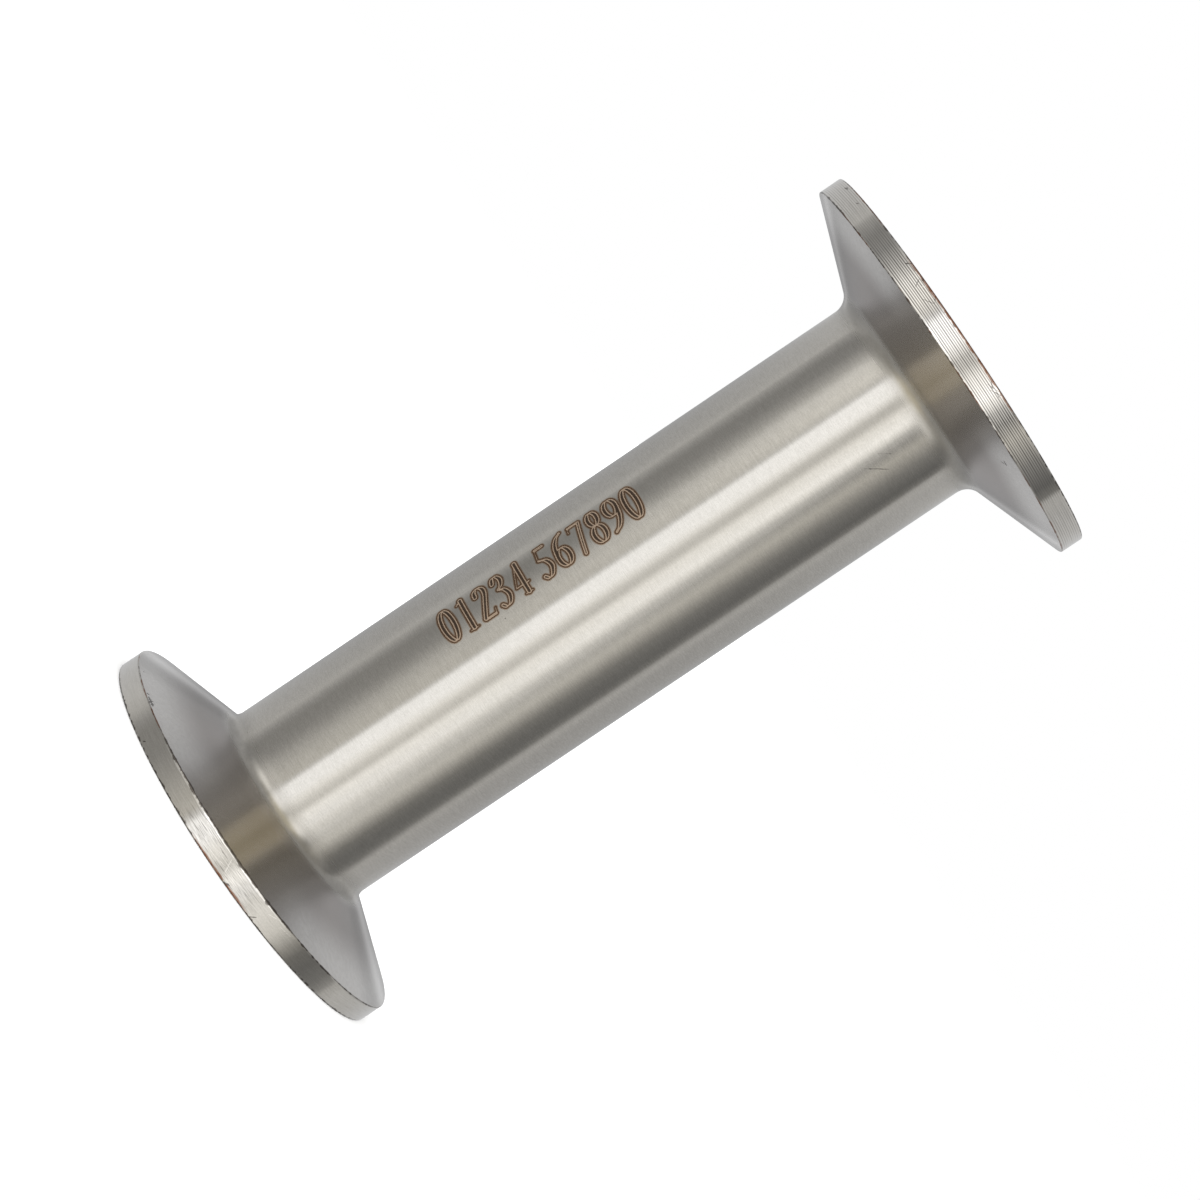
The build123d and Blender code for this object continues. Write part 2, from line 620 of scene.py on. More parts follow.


# %% [markdown]
# ### Lines along the edges
# The outer corners of a rim collect dirt, and the sharp ones rust a little first.  Along the inner
# corners, where a rim meets its seat, the dark line is painted shade, and a pale line beside each at
# the front is a painted highlight.  Each is a thin uneven line along an edge, between two bearings.
# The dark lines go all the way round.  The uneven reach comes from a noise, so no two stretches look
# the same.

# %% Dirt and painted shade, rust, and painted highlight
top_edge = spool_length - rim_width
# dirt along the outer corners, painted shade along the inner corners at rim_width and top_edge
dirt_and_painted_shade_lines = [
    # height of the edge, first and last bearing in degrees, reach in millimetres
    (0.0, -200, 200, 0.34), (rim_width, -200, -50, 0.09), (rim_width, -52, 200, 0.16),
    (rim_width, -38, 30, 0.30), (top_edge, -200, 34, 0.18), (spool_length, -200, 200, 0.25),
    (spool_length, -34, 12, 0.42),
]
# painted highlights beside the two inner corners, at the front
painted_highlight_lines = [(rim_width - 0.24 * mm, -36, 26, 0.14), (top_edge + 0.22 * mm, -20, 8, 0.14)]
rust_lines = [
    (spool_length - 0.14 * mm, -32, 24, 0.25), (spool_length - 0.12 * mm, -72, -40, 0.12),
    (top_edge, -60, 34, 0.10), (top_edge, 30, 85, 0.17), (0.18 * mm, -10, 18, 0.26),
    (rim_width, -90, -34, 0.13),
]
print(len(dirt_and_painted_shade_lines) + len(painted_highlight_lines) + len(rust_lines), "lines along the edges")


def all_lines(tree, lines, least, lumps):
    """One mask for a list of lines: least is the share of its reach that each keeps at least."""
    mask = 0.0
    for edge_height, start, end, reach in lines:
        one = use(
            tree, edge_stain, Edge_Radius=flange_radius, Edge_Height=edge_height, Reach=reach * mm,
            Least=least, From=math.radians(start), To=math.radians(end), Lumps=lumps,
        )
        mask = maths(tree, "MAXIMUM", mask, one["Mask"])
    return mask


# %% [markdown]
# ### The finish itself
# Metal has no colour of its own but that of its reflections, so Metallic is 1 and Base Color is
# how much it reflects: about two thirds, a little less in blue.  Roughness tells the zones apart.
# The rims and sealing faces were only turned and shine more.  The seats and the necks are duller
# than the tube, and the bore was left dull.

# %% Mixing colours and zones
def mixed(tree, share, first, second):
    """A colour between two others."""
    node = add(tree, "ShaderNodeMix", data_type="RGBA")
    for place, value in ((0, share), (6, first), (7, second)):
        feed(tree, node.inputs[place], value)
    return node.outputs[2]


def zones(tree):
    """Shares of the rims, the seats, the necks, the two sealing faces and the bore."""
    radius, height, _ = use(tree, axis_place)
    from_middle = maths(tree, "ABSOLUTE", maths(tree, "SUBTRACT", height, middle))
    half_length = spool_length / 2
    neck_end = half_length - neck_height
    rim = ramp_between(tree, radius, flange_radius - 0.12 * mm, flange_radius - 0.04 * mm)
    face = ramp_between(tree, from_middle, half_length - 1.7 * mm, half_length - 1.6 * mm)
    face = times(tree, face, rest_of(tree, rim))
    bore = ramp_between(tree, radius, bore_radius + 0.1 * mm, bore_radius + 0.3 * mm, 1.0, 0.0)
    seat = ramp_between(tree, radius, tube_radius + 0.3 * mm, tube_radius + 2 * mm)
    neck = ramp_between(tree, from_middle, neck_end - 3 * mm, neck_end - 1 * mm)
    neck = times(tree, neck, rest_of(tree, seat), rest_of(tree, bore))
    seat = times(tree, seat, rest_of(tree, maths(tree, "MAXIMUM", rim, face)))
    return rim, seat, neck, face, bore


# %% Colours of the steel, and of painted light and shade on it
steel = (0.66, 0.645, 0.62, 1)
pale_steel = (0.76, 0.745, 0.72, 1)
dull_steel = (0.56, 0.545, 0.52, 1)
# painted shade on the seats near the neck, which also serves as their mottle; deeper painted shade at their
# sides; a painted sheen towards their rims
mottle_and_painted_neck_shade = (0.52, 0.49, 0.475, 1)
seat_painted_deep_shade = (0.39, 0.37, 0.36, 1)
seat_painted_sheen = (0.93, 0.915, 0.90, 1)
dark_grain = (0.42, 0.43, 0.40, 1)
pale_grain = (0.86, 0.83, 0.82, 1)
nick_colour = (0.07, 0.06, 0.055, 1)
rust_colour = (0.28, 0.11, 0.055, 1)
# dirt on the outer corners, painted shade on the inner ones
dirt_and_painted_shade_colour = (0.08, 0.065, 0.055, 1)
# painted shade in the ridge valleys; a painted highlight on the ridge crests, which is also the pale colour
# of scuffs and bright scratches
painted_valley_shade = (0.10, 0.095, 0.09, 1)
pale_wear_and_painted_crest_sheen = (0.90, 0.885, 0.87, 1)
# a painted highlight beside the inner corners
painted_highlight_colour = (0.97, 0.96, 0.95, 1)


# %% How rough each zone is
tube_roughness = 0.15
roughness_spread = 0.015
seat_roughness = 0.22
neck_roughness = 0.30
rim_roughness = 0.05
face_roughness = 0.14
bore_roughness = 0.36


# %% [markdown]
# The two clamp seats get painted light and shade of their own: the shade stands in for the tube's
# dark reflection in them.  It follows the seat by radius and bearing: painted shade near the neck and
# at the front, a painted sheen towards the rim at the sides, and slightly mottled.  It is tied to the
# piece, so it stays where it is when the view moves.

# %% The clamp seats' painted light and shade
lower_seat_sheen_starts = 17 * mm
upper_seat_sheen_starts = 19 * mm
seat_sheen_fullest = 24 * mm


def seat_painted_shade_and_sheen(tree):
    """The seats' painted shade and sheen, dark to pale, with a mottle; it follows radius and bearing."""
    radius, height, bearing = use(tree, axis_place)
    aside = maths(tree, "ABSOLUTE", bearing)
    upper = maths(tree, "GREATER_THAN", height, middle)
    start = maths(tree, "MULTIPLY_ADD", upper, upper_seat_sheen_starts - lower_seat_sheen_starts, lower_seat_sheen_starts)
    # painted sheen towards the rim, mostly at the sides
    painted_sheen_share = ramp_between(tree, radius, start, seat_sheen_fullest)
    painted_sheen_share = times(tree, painted_sheen_share, ramp_between(tree, aside, 0.26, 0.58, 0.1, 1.0))
    # painted shade near the neck, deeper at the sides
    painted_shade_by_neck = mixed(tree, ramp_between(tree, aside, 0.7, 1.2), mottle_and_painted_neck_shade, seat_painted_deep_shade)
    # the seats' painted light and shade, before the mottle
    tone = mixed(tree, painted_sheen_share, painted_shade_by_neck, seat_painted_sheen)
    mottle = ramp_between(tree, speckle(tree, 1500.0, 3.0), 0.3, 0.7)
    return mixed(tree, times(tree, mottle, 0.15), tone, mottle_and_painted_neck_shade)


# %% The brushed steel
streak_share = 0.42
sand_share = 0.10


def stainless(name):
    """Brushed stainless steel; gives the material, its shader, and colour and roughness so far."""
    material = bpy.data.materials.new(name)
    material.use_nodes = True
    tree = material.node_tree
    shader = tree.nodes["Principled BSDF"]
    shader.inputs["Metallic"].default_value = 1.0
    shader.inputs["Anisotropic"].default_value = 0.9
    shader.inputs["Anisotropic Rotation"].default_value = 0.25
    tangent = add(tree, "ShaderNodeTangent", direction_type="UV_MAP", uv_map="UVMap")
    feed(tree, shader.inputs["Tangent"], tangent.outputs[0])

    fine = use(tree, grain, Around=12.0, Across=9000.0, Detail=2.0)["Streak"]
    broad = use(tree, grain, Around=5.0, Across=1400.0, Detail=3.0)["Streak"]
    streaks = maths(tree, "MULTIPLY_ADD", fine, 0.75, times(tree, broad, 0.25))
    sand = ramp_between(tree, speckle(tree, 5200.0, 1.0), 0.3, 0.7)
    rim, seat, neck, face, bore = zones(tree)
    colour = mixed(tree, ramp_between(tree, streaks, 0.3, 0.7), dull_steel, pale_steel)
    colour = mixed(tree, streak_share, steel, colour)
    colour = mixed(tree, sand_share, colour, mixed(tree, sand, dark_grain, pale_grain))
    # the seats take their painted shade and sheen
    colour = mixed(tree, times(tree, seat, 0.9), colour, seat_painted_shade_and_sheen(tree))
    colour = mixed(tree, times(tree, bore, 0.6), colour, dull_steel)

    smoothest = tube_roughness - roughness_spread
    roughest = tube_roughness + roughness_spread
    roughness = ramp_between(tree, streaks, 0.3, 0.7, smoothest, roughest)
    for share, zone_roughness in (
        (rim, rim_roughness), (seat, seat_roughness), (neck, neck_roughness),
        (face, face_roughness), (bore, bore_roughness),
    ):
        roughness = maths(tree, "MULTIPLY_ADD", share, zone_roughness - tube_roughness, roughness)
    bump = add(tree, "ShaderNodeBump")
    bump.inputs["Strength"].default_value = 0.5
    bump.inputs["Distance"].default_value = 0.0006 * mm
    feed(tree, bump.inputs["Height"], streaks)
    feed(tree, shader.inputs["Normal"], bump.outputs[0])
    return material, shader, colour, roughness


# %% [markdown]
# ### Painted light and wear on the rims
# The ridged rim has a painted highlight on its crests and painted shade in its valleys, strongest at
# the front and fading to both sides.
# The other rim has fine slanted scuffs at the front instead: three noises, each drawn out into
# lines at an angle of its own, one dark and two pale.

# %% Painted ridge light, and scuffs as colour
def slanted_lines(tree, turn):
    """A noise drawn out into lines that lie aslant on the front of the piece."""
    place = add(tree, "ShaderNodeMapping", object_place(tree))
    place.inputs["Rotation"].default_value = (0, turn, 0)
    place.inputs["Scale"].default_value = (0.3, 0.3, 6)
    return noise_at(tree, place.outputs[0], 1700.0, 2.0)


def with_painted_ridge_light(tree, colour, upper_rim, aside):
    """The colour with a painted highlight on the crests and painted shade in the valleys of the upper rim.
    """
    # painted highlight and shade on the ridges, strongest at the front and fading to the sides
    ridge_light_share = times(tree, upper_rim, ramp_between(tree, aside, 0.50, 0.80, 0.95, 0.12))
    valley = add(tree, "ShaderNodeAttribute", attribute_name="valley").outputs["Fac"]
    valley_shade_share = times(tree, ramp_between(tree, valley, 0.35, 0.75), ridge_light_share, 0.8)
    return mixed(tree, valley_shade_share, mixed(tree, ridge_light_share, colour, pale_wear_and_painted_crest_sheen), painted_valley_shade)


def with_scuffs(tree, colour, lower_rim, aside):
    """The colour with fine slanted scuffs on the front of the lower rim."""
    scuffed = times(tree, lower_rim, ramp_between(tree, aside, 0.15, 0.35, 1.0, 0.0))
    for turn, tone in ((0.6, nick_colour), (-0.35, pale_wear_and_painted_crest_sheen), (0.25, pale_wear_and_painted_crest_sheen)):
        thin = ramp_between(tree, slanted_lines(tree, turn), 0.55, 0.65)
        colour = mixed(tree, times(tree, scuffed, thin, 0.5), colour, tone)
    return colour


# %% The spool's steel, with its wear and painted light and shade
def spool_steel():
    """The brushed steel with ridges, scuffs, edge lines, nicks and scratches, and painted light and shade
    on the ridges and edges.
    """
    material, shader, colour, roughness = stainless("brushed_stainless")
    tree = material.node_tree
    _, height, bearing = use(tree, axis_place)
    rim = zones(tree)[0]
    aside = maths(tree, "ABSOLUTE", bearing)
    upper_rim = times(tree, rim, maths(tree, "GREATER_THAN", height, middle))
    lower_rim = times(tree, rim, maths(tree, "LESS_THAN", height, middle))
    colour = with_painted_ridge_light(tree, colour, upper_rim, aside)
    colour = with_scuffs(tree, colour, lower_rim, aside)

    # dark lines along the edges: dirt on the outer corners, painted shade on the inner ones; then a painted
    # highlight beside the inner corners
    dirt_and_painted_shade = all_lines(tree, dirt_and_painted_shade_lines, 0.4, 1300.0)
    painted_highlight = all_lines(tree, painted_highlight_lines, 0.2, 600.0)
    rust = all_lines(tree, rust_lines, 0.01, 520.0)
    colour = mixed(tree, painted_highlight, colour, painted_highlight_colour)
    for mask, share, tone in (
        (dirt_and_painted_shade, 0.85, dirt_and_painted_shade_colour), (rust, 0.75, rust_colour),
        (all_marks(tree, dark_marks), 0.8, nick_colour), (all_marks(tree, bright_marks), 0.8, pale_wear_and_painted_crest_sheen),
    ):
        colour = mixed(tree, times(tree, mask, share), colour, tone)
    roughness = maths(tree, "MULTIPLY_ADD", rust, 0.3, roughness)
    feed(tree, shader.inputs["Base Color"], colour)
    feed(tree, shader.inputs["Roughness"], roughness)
    return material


# %% Spin the spool
ridge_depth = 0.010 * mm
segments = 256
build(
    spool, spinning_tree(), Segments=segments, Ridge_Pitch=ridge_pitch, Ridge_Depth=ridge_depth,
    Ridge_Low=spool_length - rim_width + rim_edge, Ridge_High=spool_length - rim_edge,
    Rim_Radius=flange_radius - 0.001 * mm, Material=spool_steel(),
)


# %% [markdown]
# ## The laser-marked number
# Such fittings carry a number burnt in by laser, drawn as the outlines of its digits.  The lines
# are dark brown with a tan heat tint outside them.  Inside, the broad strokes are pale peach, with
# a dark core where they are broadest.  The mark could be a flat curve with thickness, but a burn
# has no thickness, only a colour that changes with distance.  So the piece is a very thin sheet of
# the same steel wrapped on the tube, and each of its points knows how far it lies from the digits'
# outlines: less than zero inside a digit, more outside.  The material turns that gap into colour.
# A gap with a sign keeps the thin line crisp between the sheet's points, because it goes straight
# through zero there.  The number is a plain counting row.

# %% A pen for the digits
thick_pen = 0.148
thin_pen = 0.055
pen_step = 0.015


def stroke(points, weight=None, blob=0.0):
    """Discs along a line, each with x, y and radius; the pen is broad on its way up and down."""
    points = np.array(points, float)
    travelled = np.concatenate([[0], np.cumsum(np.linalg.norm(np.diff(points, axis=0), axis=1))])
    places = np.linspace(0, travelled[-1], math.ceil(travelled[-1] / pen_step) + 1)
    line = np.stack([np.interp(places, travelled, column) for column in points.T], axis=1)
    heading = np.gradient(line, axis=0)
    upright = np.abs(heading[:, 1]) / np.linalg.norm(heading, axis=1)
    width = thin_pen + (thick_pen - thin_pen) * upright**1.5
    if weight:
        width[:] = weight
    width[0] = max(width[0], blob)
    return np.column_stack([line, width / 2])


def curved(points, steps=8):
    """A smooth line through the points."""
    points = [np.array(point, float) for point in points]
    guide = [2 * points[0] - points[1], *points, 2 * points[-1] - points[-2]]
    line = []
    for a, b, c, d in zip(guide, guide[1:], guide[2:], guide[3:]):
        for t in np.arange(steps) / steps:
            bend = (2 * a - 5 * b + 4 * c - d) * t**2 + (3 * b - a - 3 * c + d) * t**3
            line.append(b + 0.5 * ((c - a) * t + bend))
    return line + [points[-1]]


def ring(middle_height, half_width, half_height):
    """An upright oval."""
    turn = np.linspace(0, math.tau, 41)
    across = digit_width / 2 + half_width * np.sin(turn)
    return np.stack([across, middle_height + half_height * np.cos(turn)], axis=1)


# %% The ten digits, one unit tall
digit_width = 0.42
digits = {
    "0": [stroke(ring(0.5, 0.145, 0.46))],
    "1": [
        stroke([(0.22, 0.06), (0.22, 0.93)]), stroke([(0.20, 0.92), (0.09, 0.84)], 0.06),
        stroke([(0.11, 0.03), (0.33, 0.03)], 0.05),
    ],
    "2": [
        stroke(
            curved([
                (0.08, 0.74), (0.10, 0.87), (0.20, 0.95), (0.31, 0.87), (0.32, 0.70), (0.22, 0.44),
                (0.06, 0.08),
            ]),
            blob=0.12,
        ),
        stroke([(0.06, 0.05), (0.33, 0.05)], 0.09), stroke([(0.34, 0.05), (0.38, 0.19)], 0.05),
    ],
    "3": [
        stroke(curved([
            (0.08, 0.78), (0.13, 0.92), (0.23, 0.94), (0.30, 0.80), (0.26, 0.64), (0.15, 0.55),
        ])),
        stroke(
            curved([(0.07, 0.12), (0.15, 0.04), (0.27, 0.09), (0.34, 0.28), (0.28, 0.46), (0.18, 0.53)]),
            blob=0.12,
        ),
    ],
    "4": [
        stroke([(0.27, 0.05), (0.27, 0.94)]), stroke([(0.26, 0.93), (0.05, 0.29)], 0.05),
        stroke([(0.05, 0.28), (0.39, 0.28)], 0.06), stroke([(0.18, 0.03), (0.36, 0.03)], 0.05),
    ],
    "5": [
        stroke(
            curved([(0.07, 0.12), (0.15, 0.04), (0.26, 0.09), (0.34, 0.29), (0.27, 0.49), (0.11, 0.58)]),
            blob=0.12,
        ),
        stroke([(0.10, 0.58), (0.14, 0.92)], 0.05), stroke([(0.15, 0.92), (0.35, 0.92)], 0.10),
    ],
    "6": [
        stroke(ring(0.29, 0.145, 0.25)),
        stroke(curved([(0.36, 0.95), (0.22, 0.85), (0.11, 0.64), (0.065, 0.36)])),
    ],
    "7": [
        stroke([(0.37, 0.90), (0.18, 0.04)], 0.11), stroke([(0.09, 0.91), (0.37, 0.91)], 0.09),
        stroke([(0.08, 0.90), (0.06, 0.76)], 0.05),
    ],
    "8": [stroke(ring(0.73, 0.115, 0.21)), stroke(ring(0.27, 0.145, 0.24))],
}
digits["9"] = [turned * (-1, -1, 1) + (digit_width, 1, 0) for turned in digits["6"]]
counts = {digit: sum(len(part) for part in parts) for digit, parts in digits.items()}
print("discs in each digit:", counts)

# %% The whole number as discs
number = "01234 567890"
digit_height = 5.0 * mm
advance = 0.485
gap_between = 0.2


def number_discs(text):
    """All discs of a number, laid flat and centred, reading along X."""
    discs = []
    start = 0.0
    for character in text:
        if character == " ":
            start += gap_between
            continue
        discs += [part + (start, 0, 0) for part in digits[character]]
        start += advance
    discs = np.concatenate(discs)
    return (discs - ((start - advance + digit_width) / 2, 0.5, 0)) * digit_height


discs = number_discs(number)
number_length = np.ptp(discs[:, 0])
print("number", round(number_length / mm, 1), "mm long,", len(discs), "discs")

# %% A flat sheet whose points know their gap to the outlines
sheet_margin = 0.7 * mm
sheet_cell = 0.085 * mm
sheet_length = number_length + 2 * sheet_margin
sheet_height = digit_height + 2 * sheet_margin


def flat_sheet(name):
    """A grid of points round the number, with line_gap on each."""
    columns = math.ceil(sheet_length / sheet_cell) + 1
    rows = math.ceil(sheet_height / sheet_cell) + 1
    x, y = np.meshgrid(
        np.linspace(-sheet_length / 2, sheet_length / 2, columns),
        np.linspace(-sheet_height / 2, sheet_height / 2, rows),
    )
    places = np.column_stack([x.ravel(), y.ravel()])
    gaps = []
    # in blocks, because each point is set against every disc at once
    for block in np.array_split(places, 60):
        apart = np.hypot(block[:, :1] - discs[:, 0], block[:, 1:] - discs[:, 1])
        gaps.append((apart - discs[:, 2]).min(axis=1))
    corner = np.arange((rows - 1) * columns).reshape(rows - 1, columns)[:, :-1].ravel()
    faces = np.column_stack([corner, corner + 1, corner + columns + 1, corner + columns])
    mesh = bpy.data.meshes.new(name)
    mesh.from_pydata([(x, y, 0) for x, y in places], [], faces.tolist())
    mesh.attributes.new("line_gap", "FLOAT", "POINT").data.foreach_set(
        "value", np.concatenate(gaps).astype(np.float32)
    )
    made = bpy.data.objects.new(name, mesh)
    bpy.context.scene.collection.objects.link(made)
    return made


marked_number = flat_sheet("marked_number")
print("sheet points", len(marked_number.data.vertices))


# %% The wrapping tree
def inside_edges(tree, place, size):
    """How far a place lies inside the two edges of a sheet of this size."""
    return maths(tree, "SUBTRACT", times(tree, size, 0.5), maths(tree, "ABSOLUTE", place))


def wrapping_tree():
    """Wraps a flat sheet on the tube as a thin closed skin; its border dives just under the surface."""
    tree, given = new_tree(
        "wrap_on_the_tube", Length="Float", Tall="Float", Tube_Radius="Float", Sunk="Float",
        Proud="Float", Border="Float", Bearing="Float", Height="Float", Material="Material",
    )
    tube = given["Tube Radius"]
    x, y, _ = split(tree, position(tree))
    bearing = maths(tree, "SUBTRACT", given["Bearing"], maths(tree, "DIVIDE", y, tube))
    height = maths(tree, "ADD", given["Height"], x)
    to_end = inside_edges(tree, x, given["Length"])
    to_side = inside_edges(tree, y, given["Tall"])
    to_border = maths(tree, "MINIMUM", to_end, to_side)
    dive = negated(tree, given["Proud"])
    rise = ramp_between(tree, to_border, 0.0, given["Border"], dive, given["Proud"])
    skin_place = combined(tree, bearing, height, rise)
    known = kept(tree, given["Geometry"], "skin_place", skin_place, "FLOAT_VECTOR")
    uv = combined(tree, share_round(tree, bearing), height, 0.0)
    mapped = kept(tree, known, "UVMap", uv, "FLOAT2", "CORNER")
    inside = maths(tree, "SUBTRACT", tube, given["Sunk"])
    wrapped = moved(tree, mapped, round_the_axis(tree, inside, bearing, height))
    raised = add(tree, "GeometryNodeExtrudeMesh", wrapped)
    feed(tree, raised.inputs["Offset Scale"], given["Sunk"])
    raised.inputs["Individual"].default_value = False
    top = raised.outputs["Top"]
    bearing, height, rise = split(tree, stored(tree, "skin_place", "FLOAT_VECTOR"))
    outside = maths(tree, "ADD", tube, rise)
    skin = moved(tree, raised.outputs["Mesh"], round_the_axis(tree, outside, bearing, height), top)
    smooth = add(tree, "GeometryNodeSetShadeSmooth", skin, top).outputs[0]
    both = tree.nodes.new("GeometryNodeJoinGeometry")
    tree.links.new(smooth, both.inputs[0])
    tree.links.new(add(tree, "GeometryNodeFlipFaces", wrapped).outputs[0], both.inputs[0])
    closed = add(tree, "GeometryNodeMergeByDistance", both.outputs[0], None, merge_gap).outputs[0]
    finish_tree(tree, closed, given["Material"])
    return tree


# %% The marked steel
burn_colour = (0.065, 0.032, 0.015, 1)
tint_colour = (0.36, 0.215, 0.11, 1)
peach_colour = (0.42, 0.32, 0.235, 1)
core_colour = (0.035, 0.020, 0.012, 1)
waver = 0.02 * mm


def marked_steel():
    """The brushed steel with the burn's colours; they follow each point's gap to the outlines."""
    material, shader, colour, roughness = stainless("marked_stainless")
    tree = material.node_tree
    gap = add(tree, "ShaderNodeAttribute", attribute_name="line_gap").outputs["Fac"]
    shift = maths(tree, "MULTIPLY_ADD", speckle(tree, 3000.0, 2.0), 2 * waver, -waver)
    gap = maths(tree, "ADD", gap, shift)
    from_line = maths(tree, "ABSOLUTE", gap)
    tint = ramp_between(tree, from_line, 0.08 * mm, 0.24 * mm, 0.8, 0.0)
    inside = ramp_between(tree, gap, -0.12 * mm, -0.03 * mm, 1.0, 0.0)
    burn = ramp_between(tree, from_line, 0.055 * mm, 0.10 * mm, 1.0, 0.0)
    core = ramp_between(tree, gap, -0.25 * mm, -0.16 * mm, 1.0, 0.0)
    colour = mixed(tree, tint, colour, tint_colour)
    colour = mixed(tree, inside, colour, peach_colour)
    colour = mixed(tree, times(tree, burn, 0.95), colour, burn_colour)
    colour = mixed(tree, times(tree, core, 0.95), colour, core_colour)
    marked = maths(tree, "MAXIMUM", burn, inside)
    roughness = maths(tree, "MULTIPLY_ADD", marked, 0.2, roughness)
    feed(tree, shader.inputs["Base Color"], colour)
    feed(tree, shader.inputs["Roughness"], roughness)
    feed(tree, shader.inputs["Metallic"], maths(tree, "MULTIPLY_ADD", marked, -0.4, 1.0))
    return material


# %% Wrap the number on the tube
number_middle = 48.1 * mm
number_bearing = math.radians(-35.8)
skin_proud = 0.004 * mm
skin_sunk = 0.05 * mm
skin_border = 0.45 * mm
build(
    marked_number, wrapping_tree(), Length=sheet_length, Tall=sheet_height, Tube_Radius=tube_radius,
    Sunk=skin_sunk, Proud=skin_proud, Border=skin_border, Bearing=number_bearing,
    Height=number_middle, Material=marked_steel(),
)


# %% [markdown]
# ## Pieces and the frame
# Both pieces ride on the one body.  The spun spool stands for the CAD node of the same shape.

# %% Tie the pieces to the frame
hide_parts("spool_pipe")
for piece in (spool, marked_number):
    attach(piece, "root")

# %% [markdown]
# ## The studio
# A polished cylinder is lit by what stands round it, not from where it stands.  The studio is a
# ring of panels: two soft boxes close to the camera with a slit between them for the lens, a dark
# gap beside each, and a pale tent behind.  The ring could be built from lamps and cards, but as a
# world it has no noise and no edges to hide.  Real soft boxes hang at a slant, so the ring is given
# twice, as it is below the horizon and above it, and the world blends the two in a few steps, each
# unlike to the left and right.  The tent is darker off the horizon and has a dim seam, and a third
# ring hangs overhead.  Ridges on a rim look a little up and a little down, and so each of them
# shows both.

# %% The panels round the spool
panels_below = [
    # bearing in degrees, brightness, warmth
    (-172, 0.57, -0.01), (-150, 0.60, 0.00), (-112, 0.61, 0.03), (-101, 0.53, 0.04),
    (-91, 0.35, 0.04), (-84, 0.29, 0.05), (-66, 0.30, 0.05), (-54, 0.38, 0.06), (-42, 0.49, 0.07),
    (-29, 0.59, 0.08), (-26, 0.74, 0.04), (-22.5, 1.20, 0.02), (-12, 1.22, 0.02), (-4, 1.10, 0.05),
    (6, 0.80, 0.06), (13, 1.22, 0.04), (22, 1.01, 0.03), (29, 0.92, 0.05), (37, 1.00, 0.05),
    (50, 0.80, 0.06), (62, 0.36, 0.07), (69, 0.20, 0.06), (79, 0.17, 0.04), (92, 0.22, 0.04),
    (99, 0.32, 0.04), (103, 0.50, 0.04), (112, 0.58, 0.03), (130, 0.56, 0.02), (150, 0.60, 0.00),
    (172, 0.64, -0.01),
]
panels_above = [
    (-172, 0.60, -0.01), (-150, 0.62, 0.01), (-115, 0.66, 0.02), (-102, 0.60, 0.03),
    (-98, 0.38, 0.03), (-86, 0.25, 0.03), (-74, 0.29, 0.03), (-60, 0.64, 0.05), (-50, 1.16, 0.05),
    (-37, 1.14, 0.06), (-30, 0.88, 0.05), (-27, 0.80, 0.03), (-23.5, 1.36, 0.02), (-9, 1.30, 0.03),
    (-3, 0.80, 0.05), (0, 0.55, 0.06), (4, 0.58, 0.06), (11, 1.00, 0.06), (24, 1.40, 0.04),
    (29, 1.06, 0.05), (34, 0.46, 0.05), (41, 0.19, 0.06), (51, 0.46, 0.10), (58, 0.41, 0.08),
    (70, 0.27, 0.05), (87, 0.14, 0.03), (94.5, 0.22, 0.05), (98, 0.55, 0.03), (115, 0.60, 0.02),
    (140, 0.62, 0.02), (172, 0.62, -0.01),
]
panels_overhead = [
    (-165, 0.30, 0.0), (-125, 0.40, 0.02), (-95, 0.32, 0.06), (-60, 0.24, 0.10), (-36, 0.24, 0.14),
    (-26, 0.46, 0.28), (-14, 0.47, 0.30), (15, 0.45, 0.30), (26, 0.49, 0.30), (35, 0.26, 0.20),
    (60, 0.23, 0.12), (95, 0.30, 0.08), (125, 0.38, 0.02), (165, 0.30, 0.0),
]
brightest = 1.4


def panel_colour(brightness, warmth):
    """A panel's light, a touch more red and less blue where it is warm."""
    share = brightness / brightest
    return (share * (1 + 0.5 * warmth), share, share * (1 - 1.2 * warmth), 1)


def ring_of(tree, share, panels):
    """The colour that a ring of panels has in one direction round the spool."""
    node = add(tree, "ShaderNodeValToRGB", share)
    elements = node.color_ramp.elements
    while len(elements) < len(panels):
        elements.new(1.0)
    for element, (bearing, brightness, warmth) in zip(elements, panels):
        element.position = bearing / 360 + 0.5
        element.color = panel_colour(brightness, warmth)
    return node.outputs[0]


# %% How the rings blend with the height of the view
black = (0, 0, 0, 1)
blend_steps = [
    # first and last elevation in degrees, then how much the upper ring gains to the left and right
    (-10, -7.2, 0.12, 0.50), (-7.2, -1, 0.06, 0.0), (1.6, 3.7, 0.82, 0.5),
]


def rises_between(tree, height, start, end):
    """A share that goes from 0 to 1 while a sine goes between those of two angles in degrees."""
    return ramp_between(tree, height, math.sin(math.radians(start)), math.sin(math.radians(end)))


def swings_between(tree, bearing, start, end):
    """A share that goes from 0 to 1 between two bearings in degrees."""
    return ramp_between(tree, bearing, math.radians(start), math.radians(end))


def share_above(tree, bearing, z):
    """How much the upper ring counts."""
    to_the_right = swings_between(tree, bearing, -20, 20)
    total = 0.0
    for start, end, left, right in blend_steps:
        weight = maths(tree, "MULTIPLY_ADD", to_the_right, right - left, left)
        total = maths(tree, "MULTIPLY_ADD", rises_between(tree, z, start, end), weight, total)
    return total


